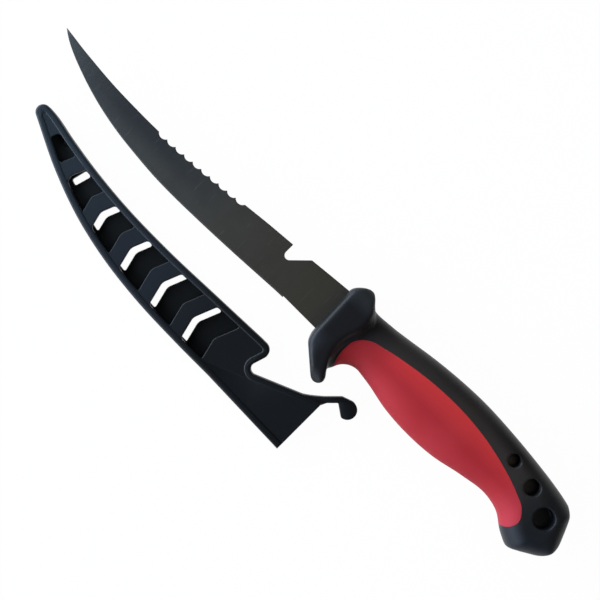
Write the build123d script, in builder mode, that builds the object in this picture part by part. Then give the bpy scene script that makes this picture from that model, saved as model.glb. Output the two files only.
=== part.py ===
# Fillet knife with a two-tone moulded grip, and its moulded sheath laid beside it.
# +X runs from the blade's tip to the butt, +Y towards the spine, +Z up from the table.
# The origin is under the middle of the whole set, on the table.
import os
from math import cos, radians, sin, tan

from build123d import *

os.makedirs("parts", exist_ok=True)

# Blade
blade_length = 174.2  # guard's front face to tip
blade_width = 22.7  # at the guard
blade_thickness = 2.0  # spine at the guard
blade_root_depth = 3.0  # full-height steel inside the guard
ricasso_length = 20.0  # unsharpened edge in front of the guard
ricasso_half_width = 11.3
scallop_count = 10
scallop_pitch = 5.03
scallop_radius = 3.15
scallop_depth = 1.5
scallop_bevel = 0.55
scallop_start = 0.45  # from the blade's middle to where its bevels start
cutter_round = 1.85
cutter_corner_depth = 9.6  # of the sharp corner, before its rounding
cutter_slope = 44.5  # degrees
tang_length = 96.0
tang_width = 16.0
tang_end_width = 10.0
tang_hole_diameter = 5.0
tang_hole_spacing = 26.0
tang_first_hole = 22.0

# Handle
handle_length = 147.2  # guard's front face to butt
handle_height = 34.8
handle_thickness = 23.0
guard_length = 19.0
guard_height = 45.7
guard_thickness = 25.5
guard_corner_radius = 9.0
guard_end_margin = 2.0  # the front view's rounded block past the guard's ends
guard_edge_round = 1.0
guard_front_round = 3.0
guard_back_round = 1.5
horn_radius = 3.15
grip_wall = 3.0
neck_radius = 9.4
neck_turn = 84.0  # degrees
neck_row_count = 6
neck_tail_length = 9.0
butt_round = 6.0
butt_shoulder_round = 8.0
butt_edge_round = 5.0
butt_edge_margin = 0.3
butt_end_lean = 23.4  # degrees
butt_under_lean = 29.5  # degrees
butt_shoulder_lean = 46.0  # degrees
butt_hole_diameters = (5.1, 6.4, 8.8)
butt_hole_depth = 6.0

# Sheath
rim_width = 3.2
blade_side_clearance = 0.5  # blade's edges to the sheath's rim
blade_face_clearance = 0.3  # blade's faces to the sheath's bands
sheath_tip_room = 9.5  # blade's tip to the sheath's rim
sheath_thickness = 8.0
band_recess = 0.8
band_pitch = 21.1
band_length = 7.8
slot_length = 2.8
band_overlap = 0.8
window_corner_round = 1.1
sheath_tip_radius = 3.55
sheath_edge_round = 0.4
thumb_lobe_radius = 4.5
thumb_notch_radius = 2.7
latch_width = 2.85
latch_bend_reach = 8.8  # along the arm, from its root's centre to the head's bend
latch_inner_reach = 6.9
latch_thickness = 6.4
latch_clearance = 0.12
latch_inner_round = 0.7

# Where the sheath lies beside the knife: its mouth's middle from the guard's middle
sheath_offset_x = 26.9
sheath_offset_y = 48.2

cut_overrun = 1.0  # how far a cut runs past what it cuts

# Rows of the blade, from the guard to the tip: along its length, spine and edge as shares of
# its width, and its spine's thickness
blade_shares = (
    (0.000, 0.502, -0.524, 1.00),
    (0.065, 0.455, -0.524, 0.99),
    (0.129, 0.405, -0.526, 0.98),
    (0.196, 0.359, -0.553, 0.96),
    (0.274, 0.308, -0.586, 0.93),
    (0.349, 0.247, -0.612, 0.90),
    (0.420, 0.200, -0.630, 0.87),
    (0.491, 0.150, -0.641, 0.84),
    (0.563, 0.105, -0.634, 0.80),
    (0.646, 0.067, -0.586, 0.75),
    (0.728, 0.066, -0.511, 0.70),
    (0.811, 0.084, -0.379, 0.62),
    (0.894, 0.135, -0.181, 0.52),
    (0.936, 0.167, -0.056, 0.45),
    (0.966, 0.198, 0.053, 0.38),
    (0.987, 0.218, 0.150, 0.32),
    (1.000, 0.231, 0.222, 0.25),
)
grind_share = 0.21  # of the blade's height, from the spine to where the flat grind starts
bevel_share = 0.035  # of the blade's height, the sharpened bevel along the edge
bevel_thickness_share = 0.24
edge_thickness_share = 0.03
scallop_start_share = 0.628
cutter_wall_share = 0.191

# Rows of the grip, from the neck to the butt: along its length, belly and back as shares of
# its height, and its thickness
grip_shares = (
    (0.239, -0.353, 0.431, 0.86),
    (0.324, -0.425, 0.485, 0.94),
    (0.430, -0.454, 0.529, 0.99),
    (0.530, -0.427, 0.545, 1.00),
    (0.635, -0.335, 0.526, 0.98),
    (0.728, -0.287, 0.493, 0.99),
    (0.788, -0.342, 0.465, 1.035),
    (0.844, -0.490, 0.434, 1.085),
    (0.900, -0.566, 0.393, 1.105),
    (1.020, -0.585, 0.262, 1.09),
)
# The neck's belly is an arc that turns down into the guard's horn
neck_share = 0.185
neck_belly_share = -0.322
neck_back_shares = (0.398, 0.374)  # at the arc's two ends
neck_thickness_shares = (0.81, 0.75)
core_front_shares = ((0.034, -0.325, 0.385, 0.76), (0.110, -0.325, 0.378, 0.76), (0.175, -0.325, 0.393, 0.80))
core_row_count = 8  # of the grip's rows
oval_fullness = 0.69  # of a section's sides, 0.55 makes a plain ellipse
butt_shoulder_height_share = 0.2385
butt_round_height_share = -0.201

# Red zone's border on the grip's side, from behind the guard's horn to the belly near the butt
belly_border_shares = (
    (0.1195, -0.800),
    (0.1175, -0.500),
    (0.1060, -0.270),
    (0.1120, -0.090),
    (0.1430, 0.048),
    (0.1960, 0.120),
    (0.2820, 0.193),
    (0.3740, 0.243),
    (0.4750, 0.257),
    (0.5950, 0.213),
    (0.6860, 0.130),
    (0.7720, 0.010),
    (0.8220, -0.100),
    (0.8425, -0.245),
    (0.8320, -0.390),
    (0.8120, -0.470),
    (0.7800, -0.560),
)
# Graded holes of the butt: along the handle's length, and across its height
butt_hole_shares = ((0.7065, 0.276), (0.8003, 0.193), (0.8906, 0.017))

# Guard's outline from its front face: along its length, and across its height
guard_top_shares = ((-0.037, 0.288), (0.095, 0.343), (0.368, 0.383), (0.553, 0.344), (0.679, 0.293))
guard_rear_shares = (
    (0.679, 0.293),
    (0.795, 0.177),
    (0.779, 0.044),
    (0.668, -0.098),
    (0.642, -0.230),
    (0.737, -0.350),
    (0.916, -0.480),
)
guard_front_shares = ((0.105, -0.376), (0.026, -0.290), (-0.037, 0.288))
horn_centre_share = (0.832, -0.549)
horn_rear_angle = 60.0  # degrees round the horn's tip, where its rear side ends
horn_front_angle = 229.0
horn_tip_angle = 325.0

# Sheath's outline from its mouth: along its length, and across its width
sheath_edge_shares = (
    (0.000, -0.472),
    (0.245, -0.425),
    (0.362, -0.422),
    (0.509, -0.385),
    (0.626, -0.296),
    (0.743, -0.130),
    (0.860, 0.133),
)
sheath_spine_shares = (
    (0.960, 0.737),
    (0.889, 0.654),
    (0.801, 0.568),
    (0.684, 0.498),
    (0.538, 0.478),
    (0.362, 0.512),
    (0.216, 0.545),
)
sheath_mouth_top_share = 0.515
thumb_lobe_share = (0.168, 0.545)
thumb_notch_share = (0.196, 0.002)
sheath_tip_height_share = 0.628
sheath_tip_edge_angle = 243.5  # degrees round the sheath's tip, where its edge side starts
sheath_tip_spine_angle = 80.0
chevron_spine_slope = 0.40  # how far a band's border runs back, to how far it runs across
chevron_edge_slope = 0.25
chevron_first_share = 0.298  # first front window's border, along the sheath
chevron_height_shares = (0.030, 0.075, 0.105, 0.170, 0.330, 0.560)
# Latch, from the sheath's mouth towards the guard
latch_root_share = (-0.0044, 0.541)
latch_angle = 45.0  # degrees
latch_seat_share = 0.5  # of the arm's half width, from its root's centre back to the shoulder
latch_lug_shares = ((-0.1000, 0.100), (-0.0600, 0.366))
latch_top_share = (0.0443, 0.827)
latch_side_share = (0.0782, 0.655)
latch_bottom_share = (0.0565, 0.542)

# Placement of the set about its origin
mouth_width = blade_width + 2 * (rim_width + blade_side_clearance)
sheath_length = blade_length + sheath_tip_room + rim_width
handle_top = max(row[2] for row in grip_shares) * handle_height
sheath_bottom = sheath_edge_shares[0][1] * mouth_width - sheath_offset_y
knife_x = (blade_length - handle_length) / 2
knife_y = -(handle_top + sheath_bottom) / 2
knife_z = guard_thickness / 2
knife_plane = Plane((knife_x, knife_y, knife_z))
sheath_x = knife_x + sheath_offset_x
sheath_y = knife_y - sheath_offset_y
sheath_plane = Plane((sheath_x, sheath_y, 0))
sheath_middle = sheath_thickness / 2
cavity_height = blade_thickness + 2 * blade_face_clearance


def placed(shares, length, height):
    """Points of an outline from their shares of a length and a height."""
    return [(along * length, across * height) for along, across in shares]


def station_plane(along):
    """Plane square to the knife's length, drawn with its first axis across the blade."""
    return Plane(origin=(knife_x + along, knife_y, knife_z), x_dir=(0, 1, 0), z_dir=(1, 0, 0))


def around(centre, radius, angle):
    """Point on a circle."""
    return (centre[0] + radius * cos(radians(angle)), centre[1] + radius * sin(radians(angle)))


def spine_height(along_share):
    """Height of the blade's spine, by its rows."""
    for near, far in zip(blade_shares, blade_shares[1:]):
        if near[0] <= along_share <= far[0]:
            step = (along_share - near[0]) / (far[0] - near[0])
            return (near[1] + step * (far[1] - near[1])) * blade_width
    return blade_shares[0][1] * blade_width


def blade_section(spine, edge, thick):
    """Section of the blade: flat under the spine, then ground flat, then the sharpened bevel."""
    height = (spine - edge) * blade_width
    half = thick * blade_thickness / 2
    side = [
        (spine * blade_width, half),
        (spine * blade_width - grind_share * height, half),
        (edge * blade_width + bevel_share * height, half * bevel_thickness_share),
        (edge * blade_width, half * edge_thickness_share),
    ]
    return side + [(across, -out) for across, out in reversed(side)]


def grip_body(rows, inset, plain):
    """Grip as a loft of rounded sections, drawn in and straight from row to row under its skin."""
    with BuildPart() as body:
        for along, low, high, thick in rows:
            middle = (low + high) / 2 * handle_height
            half_height = (high - low) / 2 * handle_height - inset
            half_thickness = thick * handle_thickness / 2 - inset
            top, bottom = middle + half_height, middle - half_height
            rise = oval_fullness * half_height
            swell = oval_fullness * half_thickness
            with BuildSketch(station_plane(along * handle_length)):
                with BuildLine():
                    for out in (1, -1):
                        side = out * half_thickness
                        Bezier((top, 0), (top, out * swell), (middle + rise, side), (middle, side))
                        Bezier((middle, side), (middle - rise, side), (bottom, out * swell), (bottom, 0))
                make_face()
        loft(ruled=plain)
    return body.part


def neck_rows():
    """Rows of the neck from the horn back to the grip, close together where its arc turns down."""
    rows = []
    for step in reversed(range(neck_row_count)):
        turn = radians(neck_turn) * step / (neck_row_count - 1)
        run = neck_radius * sin(turn)
        fall = neck_radius * (1 - cos(turn))
        ease = run / neck_radius
        back = neck_back_shares[0] + ease * (neck_back_shares[1] - neck_back_shares[0])
        thick = neck_thickness_shares[0] + ease * (neck_thickness_shares[1] - neck_thickness_shares[0])
        rows.append((neck_share - run / handle_length, neck_belly_share - fall / handle_height, back, thick))
    return tuple(rows)


with BuildPart() as blade:
    for along, spine, edge, thick in blade_shares:
        with BuildSketch(station_plane(-along * blade_length)):
            with BuildLine():
                Polyline(*blade_section(spine, edge, thick), close=True)
            make_face()
    loft()
    # The root runs on into the guard with the blade's first section
    with BuildSketch(station_plane(0)):
        with BuildLine():
            Polyline(*blade_section(*blade_shares[0][1:]), close=True)
        make_face()
    extrude(amount=blade_root_depth)
    # Unsharpened edge in front of the guard
    with BuildSketch(knife_plane):
        with Locations((-ricasso_length, -ricasso_half_width)):
            Rectangle(ricasso_length + blade_root_depth + cut_overrun, blade_width,
                      align=(Align.MIN, Align.MAX))
    extrude(amount=blade_thickness, both=True, mode=Mode.SUBTRACT)
    # Scallops, with their bevels on both faces
    for step in range(scallop_count):
        scallop_x = step * scallop_pitch - scallop_start_share * blade_length
        scallop_y = spine_height(-scallop_x / blade_length) - scallop_depth + scallop_radius
        with BuildSketch(knife_plane.offset(-blade_thickness)):
            with Locations((scallop_x, scallop_y)):
                Circle(scallop_radius)
        extrude(amount=2 * blade_thickness, mode=Mode.SUBTRACT)
        for side in (1, -1):
            bevel_spot = (knife_x + scallop_x, knife_y + scallop_y, knife_z + side * scallop_start)
            with Locations(Plane(origin=bevel_spot, x_dir=(1, 0, 0), z_dir=(0, 0, side))):
                Cone(scallop_radius, scallop_radius + scallop_bevel, scallop_bevel,
                     align=(Align.CENTER, Align.CENTER, Align.MIN), mode=Mode.SUBTRACT)
    # Line cutter: an upright wall, a round bottom and a long slope
    cutter_wall = -cutter_wall_share * blade_length
    cutter_lip = spine_height(cutter_wall_share)
    cutter_rise = cutter_corner_depth + blade_width / 2
    with BuildSketch(knife_plane) as cutter_notch:
        with BuildLine():
            Polyline(
                (cutter_wall, cutter_lip - cutter_corner_depth),
                (cutter_wall, cutter_lip - cutter_corner_depth + cutter_rise),
                (cutter_wall + cutter_rise / tan(radians(cutter_slope)),
                 cutter_lip - cutter_corner_depth + cutter_rise),
                close=True,
            )
        make_face()
        fillet(cutter_notch.vertices().sort_by(Axis.Y)[0], cutter_round)
    extrude(amount=blade_thickness, both=True, mode=Mode.SUBTRACT)
    # Tang: a stick with lock holes, hidden in the grip
    with BuildSketch(knife_plane) as tang_outline:
        with BuildLine():
            Polyline(
                (blade_root_depth / 2, tang_width / 2),
                (tang_length, tang_end_width / 2),
                (tang_length, -tang_end_width / 2),
                (blade_root_depth / 2, -tang_width / 2),
                close=True,
            )
        make_face()
        fillet(tang_outline.vertices().group_by(Axis.X)[-1], tang_end_width / 4)
        with GridLocations(tang_hole_spacing, 0, 3, 1):
            with Locations((tang_first_hole + tang_hole_spacing, 0)):
                Circle(tang_hole_diameter / 2, mode=Mode.SUBTRACT)
    extrude(amount=blade_thickness / 2, both=True)
blade.part.label = "blade"

# Guard: its outline, rounded as it is seen from the front, with eased edges
with BuildPart() as guard:
    with BuildSketch(knife_plane) as guard_outline:
        with BuildLine():
            horn_centre = (horn_centre_share[0] * guard_length, horn_centre_share[1] * guard_height)
            horn_rear = around(horn_centre, horn_radius, horn_rear_angle)
            horn_front = around(horn_centre, horn_radius, horn_front_angle)
            guard_top = placed(guard_top_shares, guard_length, guard_height)
            guard_rear = placed(guard_rear_shares, guard_length, guard_height)
            guard_front = placed(guard_front_shares, guard_length, guard_height)
            Spline(*guard_top)
            Spline(*guard_rear)
            Line(guard_rear[-1], horn_rear)
            ThreePointArc(horn_rear, around(horn_centre, horn_radius, horn_tip_angle), horn_front)
            Polyline(horn_front, *guard_front)
        make_face()
        for corner, corner_radius in (
            (guard_front[2], guard_back_round),
            (guard_front[1], guard_front_round),
            (guard_front[0], guard_front_round),
            (guard_rear[0], guard_back_round),
            (guard_rear[-1], guard_edge_round),
            (horn_front, guard_back_round),
        ):
            fillet(guard_outline.vertices().sort_by_distance(corner)[0], corner_radius)
    extrude(amount=guard_thickness / 2, both=True)
    guard_low = horn_centre[1] - horn_radius
    guard_high = max(point[1] for point in guard_top)
    with BuildSketch(station_plane(-cut_overrun)):
        with Locations(((guard_low + guard_high) / 2, 0)):
            RectangleRounded(guard_high - guard_low + 2 * guard_end_margin, guard_thickness, guard_corner_radius)
    extrude(amount=guard_length + 2 * cut_overrun, mode=Mode.INTERSECT)
    rim_edges = [
        edge for edge in guard.edges()
        if abs((edge % 0.5).X) < 0.99 or edge.geom_type != GeomType.LINE
    ]
    fillet([edge for edge in rim_edges if abs((edge % 0.5).Z) < 0.98], guard_edge_round)

# Grip's outer form: its tail runs into the guard, and it is trimmed at the butt by the leaning
# end and underside, with rounded rims
with BuildPart() as grip_form:
    add(grip_body(neck_rows() + grip_shares, 0, False))
    extrude(grip_form.faces().sort_by(Axis.X)[0], amount=neck_tail_length)
    butt_centre = (handle_length - butt_round, butt_round_height_share * handle_height)
    end_turn = radians(butt_end_lean)
    under_turn = radians(90 - butt_under_lean)
    end_normal = (cos(end_turn), sin(end_turn))
    under_normal = (cos(under_turn), -sin(under_turn))
    corner_reach = butt_round / (1 + end_normal[0] * under_normal[0] + end_normal[1] * under_normal[1])
    butt_corner = (
        butt_centre[0] + corner_reach * (end_normal[0] + under_normal[0]),
        butt_centre[1] + corner_reach * (end_normal[1] + under_normal[1]),
    )
    shoulder_y = butt_shoulder_height_share * handle_height
    shoulder_x = butt_corner[0] - (shoulder_y - butt_corner[1]) * tan(end_turn)
    shoulder_run = (handle_height - shoulder_y) / tan(radians(butt_shoulder_lean))
    under_drop = handle_height * tan(radians(butt_under_lean))
    with BuildSketch(knife_plane) as butt_outline:
        with BuildLine():
            Polyline(
                (0, handle_height),
                (shoulder_x - shoulder_run, handle_height),
                (shoulder_x, shoulder_y),
                butt_corner,
                (butt_corner[0] - handle_height, butt_corner[1] - under_drop),
                (0, -handle_height),
                close=True,
            )
        make_face()
        fillet(butt_outline.vertices().sort_by_distance(butt_corner)[0], butt_round)
        fillet(butt_outline.vertices().sort_by_distance((shoulder_x, shoulder_y))[0], butt_shoulder_round)
    extrude(amount=guard_thickness, both=True, mode=Mode.INTERSECT)
    for normal in (end_normal, under_normal):
        rim_plane = Plane(
            origin=(knife_x + butt_corner[0], knife_y + butt_corner[1], knife_z),
            x_dir=(normal[0], normal[1], 0),
            z_dir=(normal[1], -normal[0], 0),
        )
        with BuildSketch(rim_plane):
            with Locations((-handle_length, 0)):
                RectangleRounded(2 * handle_length, guard_thickness + 2 * butt_edge_margin, butt_edge_round)
        extrude(amount=2 * handle_length, both=True, mode=Mode.INTERSECT)

# Zone of the belly grip's moulding, right through the handle
with BuildPart() as belly_zone:
    with BuildSketch(knife_plane):
        with BuildLine():
            border = placed(belly_border_shares, handle_length, handle_height)
            Spline(*border)
            Line(border[-1], border[0])
        make_face()
    extrude(amount=guard_thickness, both=True)

# Graded blind holes on both sides of the butt
with BuildPart() as butt_holes:
    for (along, across), diameter in zip(butt_hole_shares, butt_hole_diameters):
        for side in (1, -1):
            hole_side = knife_plane.offset(0) if side > 0 else Plane(
                origin=knife_plane.origin, x_dir=knife_plane.x_dir, z_dir=(0, 0, -1))
            spot = (along * handle_length, side * across * handle_height)
            with BuildSketch(hole_side.offset(guard_thickness / 2 - butt_hole_depth)):
                with Locations(spot):
                    Circle(diameter / 2)
            extrude(amount=butt_hole_depth + cut_overrun)

# Core: moulded round the tang, under the grip's skin
with BuildPart() as handle_core:
    add(grip_body(core_front_shares + grip_shares[:core_row_count], grip_wall, True))
    add(blade.part, mode=Mode.SUBTRACT)
    add(butt_holes.part, mode=Mode.SUBTRACT)
handle_core.part.label = "handle_core"

# Belly grip: wraps the belly from side to side
with BuildPart() as belly_grip:
    add(grip_form.part)
    add(belly_zone.part, mode=Mode.INTERSECT)
    add(guard.part, mode=Mode.SUBTRACT)
    add(handle_core.part, mode=Mode.SUBTRACT)
    add(blade.part, mode=Mode.SUBTRACT)
belly_grip.part.label = "belly_grip"

# Overmould: guard, back of the grip and butt in one
with BuildPart() as grip_overmould:
    add(grip_form.part)
    add(belly_zone.part, mode=Mode.SUBTRACT)
    add(guard.part)
    add(handle_core.part, mode=Mode.SUBTRACT)
    add(blade.part, mode=Mode.SUBTRACT)
    add(butt_holes.part, mode=Mode.SUBTRACT)
grip_overmould.part.label = "grip_overmould"


def inset_point(before, point, after, inset):
    """Point of a clockwise outline, moved inwards square to the runs on both its sides."""
    normals = []
    for start, end in ((before, point), (point, after)):
        run, rise = end[0] - start[0], end[1] - start[1]
        length = (run * run + rise * rise) ** 0.5
        normals.append((rise / length, -run / length))
    (ax, ay), (bx, by) = normals
    scale = inset / (1 + ax * bx + ay * by)
    return (point[0] + scale * (ax + bx), point[1] + scale * (ay + by))


def sheath_face(inset, reach):
    """Sheath's outline without its latch, drawn in by an inset and with its mouth moved out."""
    tip_centre = (sheath_tip_radius - sheath_length, sheath_tip_height_share * mouth_width)
    tip_start = around(tip_centre, sheath_tip_radius, sheath_tip_edge_angle)
    tip_end = around(tip_centre, sheath_tip_radius, sheath_tip_spine_angle)
    edge = placed(sheath_edge_shares, -sheath_length, mouth_width)
    spine = placed(sheath_spine_shares, -sheath_length, mouth_width)
    lobe, notch = placed((thumb_lobe_share, thumb_notch_share), -sheath_length, mouth_width)
    mouth_high = sheath_mouth_top_share * mouth_width
    edge_slope = (edge[0][1] - edge[1][1]) / (edge[0][0] - edge[1][0])
    top_slope = (mouth_high - notch[1]) / -notch[0]
    mouth_bottom = (reach, edge[0][1] + reach * edge_slope)
    mouth_top = (reach, mouth_high + reach * top_slope)
    loop = [mouth_bottom, *edge[1:], tip_start, tip_end, *spine, lobe, notch, mouth_top]
    inner = [
        inset_point(loop[step - 1], point, loop[(step + 1) % len(loop)], inset)
        for step, point in enumerate(loop)
    ]
    bottom, edge_in = inner[0], inner[1:len(edge)]
    lobe_in, notch_in, top = inner[-3:]
    spine_in = inner[len(edge) + 2:-3]
    tip_radius = sheath_tip_radius - inset
    tip_start = around(tip_centre, tip_radius, sheath_tip_edge_angle)
    tip_end = around(tip_centre, tip_radius, sheath_tip_spine_angle)
    with BuildSketch() as face:
        with BuildLine():
            Line(bottom, edge_in[0])
            Spline(*edge_in, tip_start)
            ThreePointArc(tip_start, around(tip_centre, tip_radius, 180), tip_end)
            Spline(tip_end, *spine_in)
            Polyline(spine_in[-1], lobe_in, notch_in, top, bottom)
        make_face()
        fillet(face.vertices().sort_by_distance(lobe_in)[0], thumb_lobe_radius - inset)
        fillet(face.vertices().sort_by_distance(notch_in)[0], thumb_notch_radius + inset)
    return face.sketch


sheath_outline = sheath_face(0, 0)
sheath_room = sheath_face(rim_width, rim_width + cut_overrun)


def chevron_line(border_x, height_share):
    """Points across the sheath on a band's border, whose middle points to the tip."""
    middle = height_share * mouth_width
    reach = mouth_width
    return [
        (border_x + chevron_edge_slope * reach, middle - reach),
        (border_x, middle),
        (border_x + chevron_spine_slope * reach, middle + reach),
    ]


def window(near_x, far_x, height_share):
    """Opening between two borders, inside the rim, with rounded corners."""
    with BuildSketch() as opening:
        with BuildLine():
            Polyline(*chevron_line(near_x, height_share), *reversed(chevron_line(far_x, height_share)), close=True)
        make_face()
        add(sheath_room, mode=Mode.INTERSECT)
        fillet(opening.vertices(), window_corner_round)
    return opening.sketch


latch_half = latch_width / 2
latch_seat = latch_seat_share * latch_half
latch_root, latch_top, latch_side, latch_bottom = placed(
    (latch_root_share, latch_top_share, latch_side_share, latch_bottom_share), sheath_length, mouth_width)


def latch_point(along, across):
    """Point by the latch's arm: along it from its root's centre, and to its outer side."""
    turn = radians(latch_angle)
    return (
        latch_root[0] + along * cos(turn) - across * sin(turn),
        latch_root[1] + along * sin(turn) + across * cos(turn),
    )


# Sheath: bands alternate front and back, so it moulds in one piece and drains through the slots
with BuildPart() as sheath_shell:
    with BuildSketch(sheath_plane):
        add(sheath_outline)
    extrude(amount=sheath_thickness)
    fillet(sheath_shell.edges().group_by(Axis.Z)[0] + sheath_shell.edges().group_by(Axis.Z)[-1], sheath_edge_round)
    # Lug that carries the latch
    with BuildSketch(sheath_plane.offset(sheath_middle)):
        with BuildLine():
            Polyline(*placed(latch_lug_shares, sheath_length, mouth_width),
                     latch_point(-latch_seat, latch_half), latch_point(-latch_seat, -latch_half), close=True)
        make_face()
    extrude(amount=latch_thickness / 2, both=True)
    # Seat of the latch's knuckle
    with BuildSketch(sheath_plane):
        with Locations(latch_root):
            Circle(latch_half + latch_clearance)
    extrude(amount=sheath_thickness, mode=Mode.SUBTRACT)
    # Bands lie lower than the rim, front and back
    for level in (sheath_thickness - band_recess, -band_recess):
        with BuildSketch(sheath_plane.offset(level)):
            add(sheath_room)
        extrude(amount=2 * band_recess, mode=Mode.SUBTRACT)
    # Room for the blade
    with BuildSketch(sheath_plane.offset(sheath_middle - cavity_height / 2)):
        add(sheath_room)
    extrude(amount=cavity_height, mode=Mode.SUBTRACT)
    for step, height_share in enumerate(chevron_height_shares):
        front_x = -chevron_first_share * sheath_length - step * band_pitch
        band_x = front_x - (band_pitch - band_length)
        with BuildSketch(sheath_plane.offset(sheath_middle)):
            add(window(front_x, band_x, height_share))
        extrude(amount=sheath_middle, mode=Mode.SUBTRACT)
        # Rear opening under the next front band, seen through as a slot beside it
        if step < len(chevron_height_shares) - 1:
            with BuildSketch(sheath_plane):
                add(window(band_x + slot_length, band_x - band_length + band_overlap, height_share))
            extrude(amount=sheath_middle, mode=Mode.SUBTRACT)
sheath_shell.part.label = "sheath_shell"

# Latch: a springy arm with a hooked head, its knuckle in the sheath's seat
with BuildPart() as latch_arm:
    with BuildSketch(sheath_plane.offset(sheath_middle)) as latch_outline:
        with BuildLine():
            outer = Line(latch_point(0, latch_half), latch_point(latch_bend_reach, latch_half))
            TangentArc(outer @ 1, latch_top, tangent=outer % 1)
            ThreePointArc(latch_top, latch_side, latch_bottom)
            inner_corner = latch_point(latch_inner_reach, -latch_half)
            Polyline(latch_bottom, inner_corner, latch_point(0, -latch_half))
            ThreePointArc(latch_point(0, -latch_half), latch_point(-latch_half, 0), latch_point(0, latch_half))
        make_face()
        fillet(latch_outline.vertices().sort_by_distance(inner_corner)[0], latch_inner_round)
        fillet(latch_outline.vertices().sort_by_distance(latch_bottom)[0], latch_inner_round)
    extrude(amount=latch_thickness / 2, both=True)
latch_arm.part.label = "latch_arm"

for piece in (blade, handle_core, grip_overmould, belly_grip, sheath_shell, latch_arm):
    export_step(piece.part, f"parts/{piece.part.label}.step")

print("latch hinge, mm:", sheath_x + latch_root[0], sheath_y + latch_root[1], sheath_middle)
print("sheath back's middle, mm:", sheath_x - sheath_length / 2, sheath_y)
print("guard front and knife's middle line, mm:", knife_x, knife_y, knife_z)
print("sheath mouth, mm:", sheath_x, sheath_y, sheath_middle)
print("set, mm:", blade_length + handle_length, handle_top - sheath_bottom, guard_thickness)
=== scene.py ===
import math

import bmesh
import bpy
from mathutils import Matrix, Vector


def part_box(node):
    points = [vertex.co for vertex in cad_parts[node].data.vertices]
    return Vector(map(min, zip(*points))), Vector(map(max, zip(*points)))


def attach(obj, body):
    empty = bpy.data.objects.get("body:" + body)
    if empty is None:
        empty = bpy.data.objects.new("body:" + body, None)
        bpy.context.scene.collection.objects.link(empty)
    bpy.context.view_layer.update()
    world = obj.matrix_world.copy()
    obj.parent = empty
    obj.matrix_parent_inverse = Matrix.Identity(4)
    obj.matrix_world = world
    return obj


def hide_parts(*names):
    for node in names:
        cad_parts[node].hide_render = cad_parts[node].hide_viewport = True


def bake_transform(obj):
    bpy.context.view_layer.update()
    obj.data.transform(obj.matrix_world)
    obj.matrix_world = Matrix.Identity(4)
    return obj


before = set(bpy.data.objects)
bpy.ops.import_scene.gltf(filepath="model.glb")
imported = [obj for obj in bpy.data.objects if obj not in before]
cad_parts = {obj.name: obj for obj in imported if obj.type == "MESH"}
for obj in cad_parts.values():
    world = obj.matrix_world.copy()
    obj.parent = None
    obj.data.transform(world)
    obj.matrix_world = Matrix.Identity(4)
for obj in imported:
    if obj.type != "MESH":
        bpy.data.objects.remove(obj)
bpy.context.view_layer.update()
mm = 0.001

# Where the knife and the sheath lie, in millimetres, read from the frame
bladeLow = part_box("blade")[0] / mm
gripLow, gripHigh = (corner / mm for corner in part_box("grip_overmould"))
sheathLow, sheathHigh = (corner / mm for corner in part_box("sheath_shell"))
latchLow, latchHigh = (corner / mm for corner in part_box("latch_arm"))

knife = {
    "bladeLength": 174.2,  # guard's front face to tip
    "bladeWidth": 22.7,  # at the guard
    "handleHeight": 34.8,
    "handleThickness": 23.0,
    "backShare": 0.545,  # highest place of the handle's back above the knife's middle line
    "guardLength": 19.0,
    "guardHeight": 45.7,
    "thickness": gripHigh.z - gripLow.z,
}
knife["handleLength"] = gripHigh.x - bladeLow.x - knife["bladeLength"]
# its origin: the guard's front face, the knife's middle line and half its thickness
knifeX = bladeLow.x + knife["bladeLength"]
knifeY = gripHigh.y - knife["backShare"] * knife["handleHeight"]
knifeZ = (gripLow.z + gripHigh.z) / 2
knifeOrigin = {"X": knifeX, "Y": knifeY}


# Small helpers

def selectOnly(piece):
    bpy.ops.object.select_all(action="DESELECT")
    piece.select_set(True)
    bpy.context.view_layer.objects.active = piece


def smoothLine(points, steps):
    # a curve through the points, smooth where their spacing changes too
    line = []
    last = len(points) - 1
    slopes = []
    for i, here in enumerate(points):
        before, after = points[max(i - 1, 0)], points[min(i + 1, last)]
        near = math.dist(before[:2], here[:2]) or math.dist(here[:2], after[:2])
        far = math.dist(here[:2], after[:2]) or near
        slopes.append([
            ((r - q) / far * near + (q - p) / near * far) / (near + far)
            if 0 < i < last else (r - p) / (far if i == 0 else near)
            for p, q, r in zip(before, here, after)
        ])
    for i in range(last):
        reach = math.dist(points[i][:2], points[i + 1][:2])
        for step in range(steps):
            t = step / steps
            line.append(tuple(
                (2 * t**3 - 3 * t**2 + 1) * p + (t**3 - 2 * t**2 + t) * reach * a
                + (3 * t**2 - 2 * t**3) * q + (t**3 - t**2) * reach * b
                for p, q, a, b in zip(points[i], points[i + 1], slopes[i], slopes[i + 1])
            ))
    return line + [tuple(points[-1])]


def arcLine(centre, radius, start, end, steps):
    angles = [math.radians(start + (end - start) * step / steps) for step in range(steps + 1)]
    return [(centre[0] + radius * math.cos(a), centre[1] + radius * math.sin(a)) for a in angles]


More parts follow.
